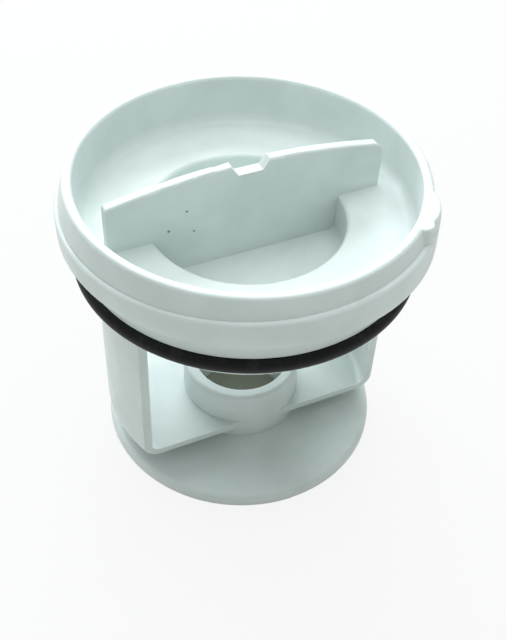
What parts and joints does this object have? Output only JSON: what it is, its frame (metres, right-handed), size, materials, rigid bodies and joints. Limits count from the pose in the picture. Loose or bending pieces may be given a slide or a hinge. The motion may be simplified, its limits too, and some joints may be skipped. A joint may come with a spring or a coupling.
{
  "type": "washing machine drain pump filter",
  "caption": "Drain pump filter insert: cupped screw head with a finger bar, sealing ring, two posts and a cross strap carrying a collar tube on a round end disc.",
  "frame": {"origin": "centre of the collar's bore in the underside of the end disc", "axes": "+Z along the filter's axis out of the cup, X along the finger bar and the strap, and the two windows between the posts open along Y"},
  "size_m": [0.0787, 0.0797, 0.0741],
  "materials": {
    "white_plastic": "satin milky white polypropylene, moulded in one piece",
    "black_rubber": "matt black rubber"
  },
  "bodies": {
    "root": {"filter_body": "white_plastic", "sealing_ring": "black_rubber"}
  },
  "joints": []
}
